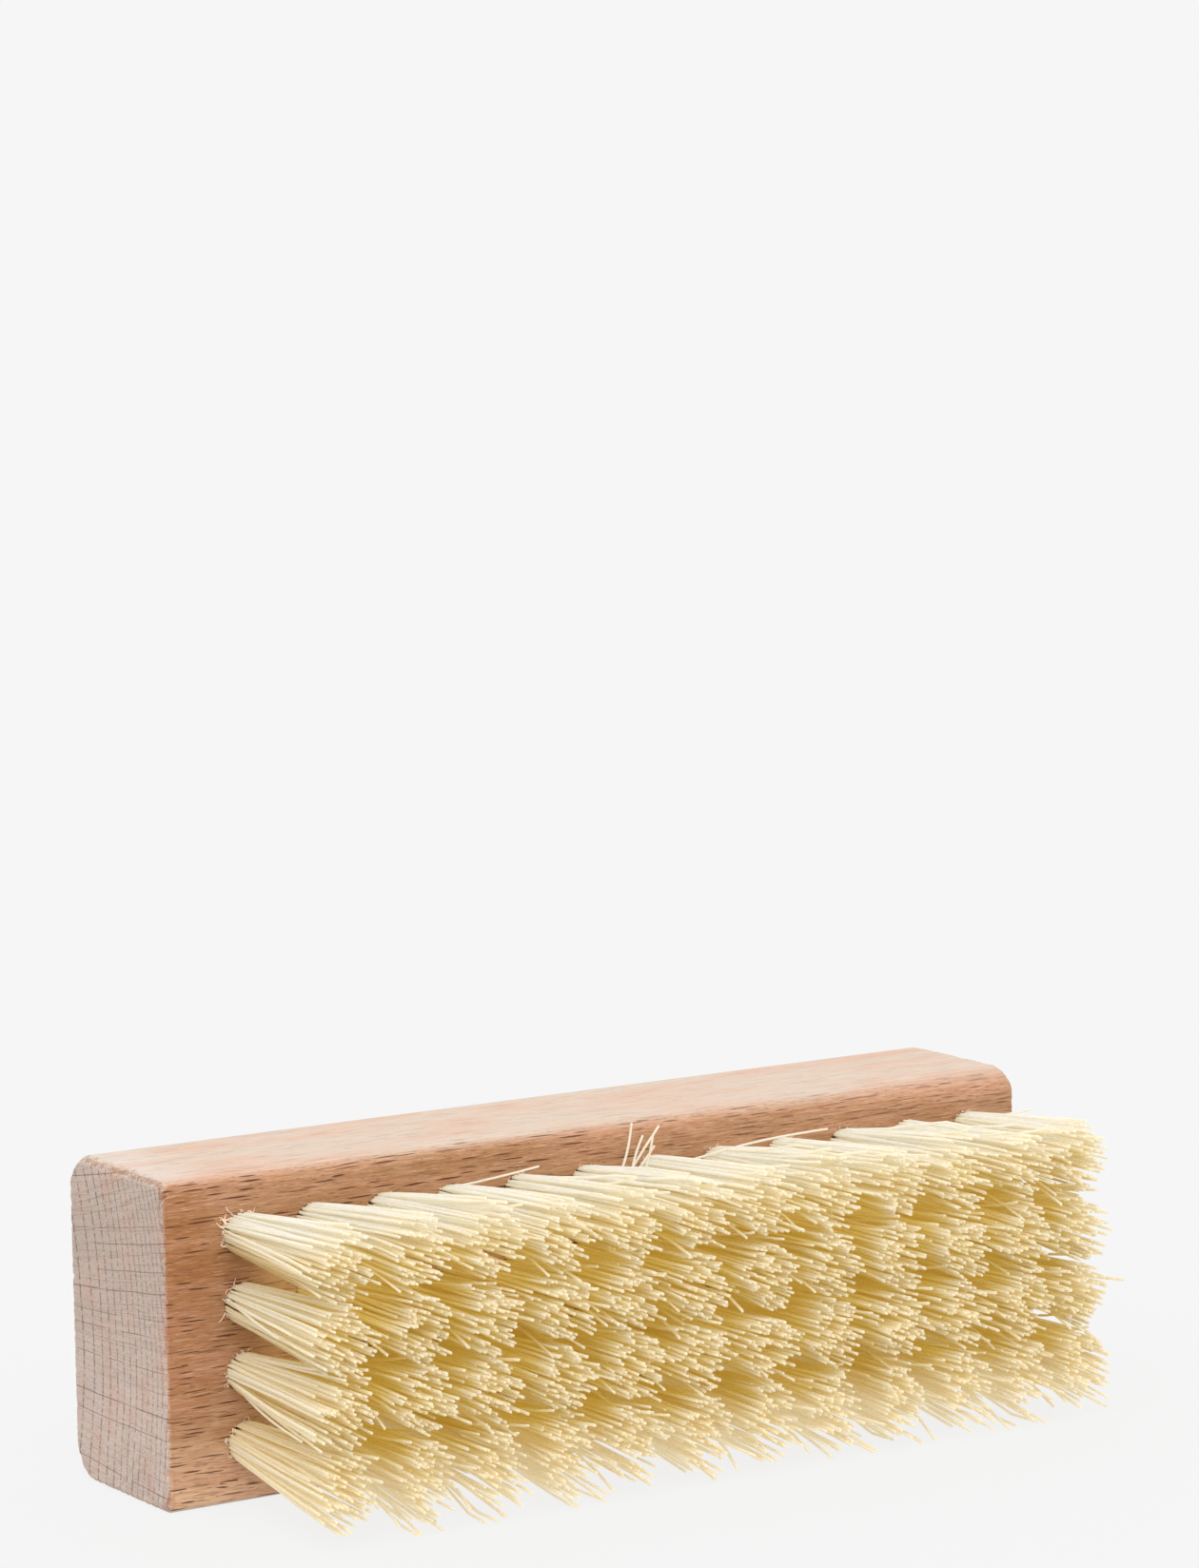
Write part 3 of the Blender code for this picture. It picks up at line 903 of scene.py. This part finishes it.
def growTuft(name, fibres, field, material):
    bm = bmesh.new()
    layers = {kind: bm.verts.layers.float.new(kind)
              for kind in ("along", "luck", "inner", "sunlit", "depth")}
    numberLayer = bm.verts.layers.int.new("number")
    cutLayer = bm.faces.layers.float.new("cut")
    towardTips = Matrix.Rotation(math.pi / 2, 4, "X")      # local Z turned to -Y
    growing = []
    for number, fibre in enumerate(fibres):
        middle = fibrePlace(fibre, 0) + Vector((0, tuft["rootDepth"] / 2, 0))
        spin = Matrix.Rotation(fibre["luck"] * math.tau, 4, "Z")
        foot = addRod(bm, tuft["sides"], fibre["radius"], tuft["rootDepth"],
                      Matrix.Translation(middle) @ towardTips @ spin)
        for vert in foot:
            for kind in ("luck", "inner", "sunlit"):
                vert[layers[kind]] = fibre[kind]
            vert[layers["depth"]] = depthAt(vert.co, field)
            vert[numberLayer] = number
        growing.append(endFace(foot, lambda middle: middle.y))
    shares = tuft["stations"]
    for before, share in zip(shares, shares[1:]):
        # the ends come back in any order, so the number on their corners finds their fibre
        growing = bmesh.ops.extrude_discrete_faces(bm, faces=growing)["faces"]
        thinner = (1 - (1 - tuft["taper"]) * share) / (1 - (1 - tuft["taper"]) * before)
        if share == 1:
            thinner *= tuft["frayed"]
        for end in growing:
            centre = end.calc_center_median()
            place = fibrePlace(fibres[end.verts[0][numberLayer]], share)
            for vert in end.verts:
                vert.co = place + (vert.co - centre) * thinner
                vert[layers["along"]] = share
                vert[layers["depth"]] = depthAt(vert.co, field)
    for end in growing:
        end[cutLayer] = 1.0
    bm.verts.layers.int.remove(numberLayer)
    return makePiece(name, bm, material, fibreCrease)


# Stray fibres that stand or lie apart, and the fuzz that the drill tore up round the holes

stray = {
    "radius": 0.15 * mm,
    "sides": 6,
    "steps": 9,
    "thinner": 0.985,       # at each step
    "along": 0.6,           # their tone, as at this share of a fibre's way
    "sunlit": 0.6,
    # where each starts and ends, and how far its middle bows out, in mm
    "ways": (
        ((-22.9, 1, 34.7), (-15, -6, 37.4), (0, 0, -0.1)),
        ((-2.4, -4, 33.8), (-0.3, -4, 40.7), (0.35, 0, 0)),
        ((-0.5, -4, 34.2), (1.3, -4, 39), (-0.2, 0, 0)),
        ((-1, -4, 34.2), (3.7, -4, 39.9), (0, 0, 0.1)),
        ((0, -4, 34.3), (3, -4, 37.5), (0.1, 0, 0)),
        ((1.5, -4.2, 34.6), (2.7, -4.2, 39), (0.1, 0, 0)),
        ((9.3, -1, 34.2), (29, -4, 36.6), (0, 0, 0.45)),
        ((55, 1, 33.6), (61.2, -4, 35.4), (0, 0, 0.1)),
        ((-54.2, 1, 25), (-57.6, -16.9, 24.1), (-0.35, 0, 0.1)),
        ((-53.2, 1, 14.1), (-56.6, -20.2, 12.4), (-0.4, 0, -0.2)),
    ),
}
fuzz = {
    "radius": 0.065 * mm,
    "sides": 4,
    "steps": 10,
    "thinner": 0.88,        # at each step
    "length": (0.35 * mm, 1 * mm),
    "radiusRange": (0.6, 1.3),
    "seat": 0.1 * mm,       # how deep below the face a hair starts
    "standing": (0.3, 1.2),  # how steeply it leaves the wood
    "curl": 8,            # radians over the whole length, at most
    "perHole": 7,
    "perOuterHole": 15,     # round the holes at the nearer end, most on their left
    "leftScatter": 0.8,     # radians
    "longest": 2.2 * mm,    # of the few that curl up there
    "longThicker": 1.3,
    "burr": 16,             # more of these, on the upper left of the nearest hole
    "burrAngle": 2.6,
    "burrScatter": 0.22,
    # detail of the grain, where it starts and ends, tones, roughness, bumps and metal
    "finish": (3, (0.4, 0.65), (screenColour(252, 234, 214), screenColour(238, 196, 166)),
               0.55, 0.02 * mm, 0),
}


def layHairs(bm, hairs, sides):
    # Round hairs through their places, closed at both ends; all have as many places.
    numberLayer = bm.verts.layers.int.new("number")
    growing = []
    for number, hair in enumerate(hairs):
        first, second = hair["places"][:2]
        turn = Vector((0, 0, 1)).rotation_difference(second - first).to_matrix().to_4x4()
        foot = addRod(bm, sides, hair["radius"], (second - first).length,
                      Matrix.Translation((first + second) / 2) @ turn)
        for vert in foot:
            vert[numberLayer] = number
        growing.append(endFace(foot, lambda middle: (middle - second).length))
    for step in range(2, len(hairs[0]["places"])):
        growing = bmesh.ops.extrude_discrete_faces(bm, faces=growing)["faces"]
        for end in growing:
            hair = hairs[end.verts[0][numberLayer]]
            last, before, place = hair["places"][step - 2:step + 1]
            turn = (before - last).rotation_difference(place - before)
            centre = end.calc_center_median()
            for vert in end.verts:
                vert.co = place + turn @ (vert.co - centre) * hair["thinner"]
    bm.verts.layers.int.remove(numberLayer)


def makeStrays(material):
    bm = bmesh.new()
    hairs = []
    for start, finish, bow in stray["ways"]:
        places = []
        for step in range(stray["steps"] + 1):
            share = step / stray["steps"]
            place = Vector(start).lerp(Vector(finish), share)
            places.append((place + Vector(bow) * math.sin(math.pi * share)) * mm)
        hairs.append({"places": places, "radius": stray["radius"], "thinner": stray["thinner"]})
    layHairs(bm, hairs, stray["sides"])
    sunLayer = bm.verts.layers.float.new("sunlit")
    alongLayer = bm.verts.layers.float.new("along")
    for vert in bm.verts:
        vert[alongLayer] = stray["along"]
        vert[sunLayer] = stray["sunlit"]
    return makePiece("stray_fibres", bm, material, fibreCrease)


def curlPlaces(start, outward, length, chance):
    # the places along a torn curl that starts at the rim of a hole
    axis = Vector((chance.gauss(0, 1), chance.gauss(0, 1), chance.gauss(0, 1))).normalized()
    bend = Matrix.Rotation(fuzz["curl"] * chance.uniform(0.4, 1) / fuzz["steps"], 3, axis)
    way = (outward + Vector((0, -chance.uniform(*fuzz["standing"]), 0))).normalized()
    places = [start]
    for step in range(fuzz["steps"]):
        places.append(places[-1] + way * length / fuzz["steps"])
        places[-1].y = min(places[-1].y, blockLow.y - fuzz["radius"])
        way = bend @ way
    return places


def rimHair(centre, angle, longOne, chance):
    # One torn wood fibre at the rim of a hole, at an angle round it.
    outward = Vector((math.cos(angle), 0, math.sin(angle)))
    start = centre + outward * block["holeDiameter"] / 2
    start.y = blockLow.y + fuzz["seat"]
    length = chance.uniform(*fuzz["length"])
    radius = fuzz["radius"] * chance.uniform(*fuzz["radiusRange"])
    if longOne:
        length = fuzz["longest"] * chance.uniform(0.6, 1)
        radius *= fuzz["longThicker"]
    return {"places": curlPlaces(start, outward, length, chance), "radius": radius,
            "thinner": fuzz["thinner"]}


def makeRimFuzz(material, centres, chance):
    nearest = min(centre.x for centre in centres)
    highest = max(centre.z for centre in centres)
    hairs = []
    for centre in centres:
        outer = centre.x < nearest + mm
        for number in range(fuzz["perOuterHole"] if outer else fuzz["perHole"]):
            angle = chance.uniform(0, math.tau)
            if outer and number % 3 > 0:
                angle = math.pi + chance.gauss(0, fuzz["leftScatter"])
            hairs.append(rimHair(centre, angle, outer and number % 4 == 0, chance))
        if outer and centre.z > highest - mm:
            for number in range(fuzz["burr"]):
                angle = fuzz["burrAngle"] + chance.gauss(0, fuzz["burrScatter"])
                hairs.append(rimHair(centre, angle, number % 2 == 0, chance))
    bm = bmesh.new()
    layHairs(bm, hairs, fuzz["sides"])
    return makePiece("rim_fuzz", bm, material, fibreCrease)


# The anchor wires, down in the holes where the roots fold

root = {
    "bottom": 10.6 * mm,    # below the bristle face
    "foldHeight": 1.6 * mm,
    "wireHeight": 1.8 * mm,
    "wireThickness": 0.5 * mm,
    "wireWidth": 4.7 * mm,
    "wireArris": 0.12 * mm,
    "finish": (4, (0.35, 0.7), (screenColour(176, 172, 164), screenColour(140, 134, 124)),
               0.28, 0.01 * mm, 1),
}


def makeWires(material, centres):
    bm = bmesh.new()
    depth = root["bottom"] - root["foldHeight"] - root["wireHeight"] / 2
    for centre in centres:
        made = bmesh.ops.create_cube(bm, size=1.0)["verts"]
        bmesh.ops.scale(bm, vec=(root["wireWidth"], root["wireHeight"], root["wireThickness"]),
                        verts=made)
        bmesh.ops.translate(bm, vec=centre + Vector((0, depth, 0)), verts=made)
    bevel(bm, bm.edges[:], root["wireArris"], 2)
    return makePiece("anchor_wires", bm, material, wireCrease)


# The surroundings

studio = {
    "floorRadius": 80,
    "floorSides": 96,
    "floorTones": (screenColour(62, 62, 62), screenColour(64, 64, 64)),
    "floorGlow": 0.834,     # the floor is a light table, so that nothing lies in the dark
    "skyHorizon": 0.922,
    "skyTop": 1.45,
    "skyRise": (0.06, 0.5),  # how high up the sky starts to brighten, and is brightest
    "lamps": {              # strength, degrees across, elevation, azimuth and colour
        "key": (1.05, 55, 64, -30, (1, 1, 1)),
        "frontFill": (0.6, 50, 20, -20, (1, 0.96, 0.88)),
    },
}

# The viewer's place, found from the block's edges in the photo, with zero shift
viewer = {
    "place": (-0.34684, -0.53929, 0.16069),
    "azimuth": -32.626,
    "downward": 6.98,
    "roll": -0.926,
    "lens": 121.33,
    "sensor": 36,
    "sight": (0.01, 300),   # nearest and farthest that is seen
}


def makeFloor():
    bm = bmesh.new()
    bmesh.ops.create_circle(bm, cap_ends=True, segments=studio["floorSides"],
                            radius=studio["floorRadius"])
    floor = makePiece("floor", bm, makeFloorFinish(), woodCrease)


def makeLight():
    world = bpy.data.worlds.new("studio")
    world.use_nodes = True
    bpy.context.scene.world = world
    start = Wire(world.node_tree)
    way = splitVector(start.node("TexCoord", output="Generated"))
    high = fade(way["Z"], *studio["skyRise"])
    sky = tint(high, (studio["skyHorizon"],) * 3 + (1,), (studio["skyTop"],) * 3 + (1,))
    sky.plug(sky, world.node_tree.nodes["Background"].inputs["Color"])
    for name, (strength, across, elevation, azimuth, colour) in studio["lamps"].items():
        lamp = bpy.data.lights.new(name, "SUN")
        lamp.energy = strength
        lamp.angle = math.radians(across)
        lamp.color = colour
        placed = addObject(name, lamp)
        placed.rotation_euler = (math.radians(90 - elevation), 0, math.radians(azimuth))


def makeCamera():
    data = bpy.data.cameras.new("viewer")
    data.lens = viewer["lens"]
    data.sensor_width = viewer["sensor"]
    camera = addObject("viewer", data)
    turn = (Matrix.Rotation(math.radians(viewer["azimuth"]), 4, "Z")
            @ Matrix.Rotation(math.radians(90 - viewer["downward"]), 4, "X")
            @ Matrix.Rotation(math.radians(viewer["roll"]), 4, "Z"))
    camera.matrix_world = Matrix.Translation(viewer["place"]) @ turn
    data.clip_start, data.clip_end = viewer["sight"]
    bpy.context.scene.camera = camera


bpy.context.scene.view_settings.view_transform = "Standard"
makeFloor()
makeLight()
makeCamera()
print("floor, light and camera ready")

centres = {name: rootCentre(name) for name in tuftNodes}
woodMaterial = makeBeech()
blockPiece = makeBlock(woodMaterial, centres.values())
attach(blockPiece, "root")
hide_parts("wood_block")
print("block shaped and drilled:", len(blockPiece.data.polygons), "faces")

chance = random.Random(tuft["seed"])
fibreMaterial = makeFibre()
places = {name: gridPlace(name) for name in tuftNodes}
rows = max(row for row, column in places.values())
columns = max(column for row, column in places.values())
across = sorted(centre.x for centre in centres.values())
upward = sorted(centre.z for centre in centres.values())
field = {"left": across[0], "right": across[-1], "bottom": upward[0], "top": upward[-1]}
for name, (row, column) in places.items():
    sides = outwardSides(row, column, rows, columns)
    fibres = layFibres(centres[name], sides, openSides(row, column, rows), chance)
    piece = growTuft("fibres_" + name[5:], fibres, field, fibreMaterial)
    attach(piece, "root")
    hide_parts(name)
print("tufts grown:", len(tuftNodes), "of", tuft["fibres"] + tuft["ringFibres"], "fibres")

strays = makeStrays(fibreMaterial)
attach(strays, "root")
rimFuzz = makeRimFuzz(makeMottled("woodFuzz", *fuzz["finish"]), list(centres.values()), chance)
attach(rimFuzz, "root")
print("stray fibres and fuzz laid:", len(rimFuzz.data.polygons), "faces of fuzz")

wires = makeWires(makeMottled("anchorWire", *root["finish"]), centres.values())
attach(wires, "root")
print("anchor wires laid in the holes")
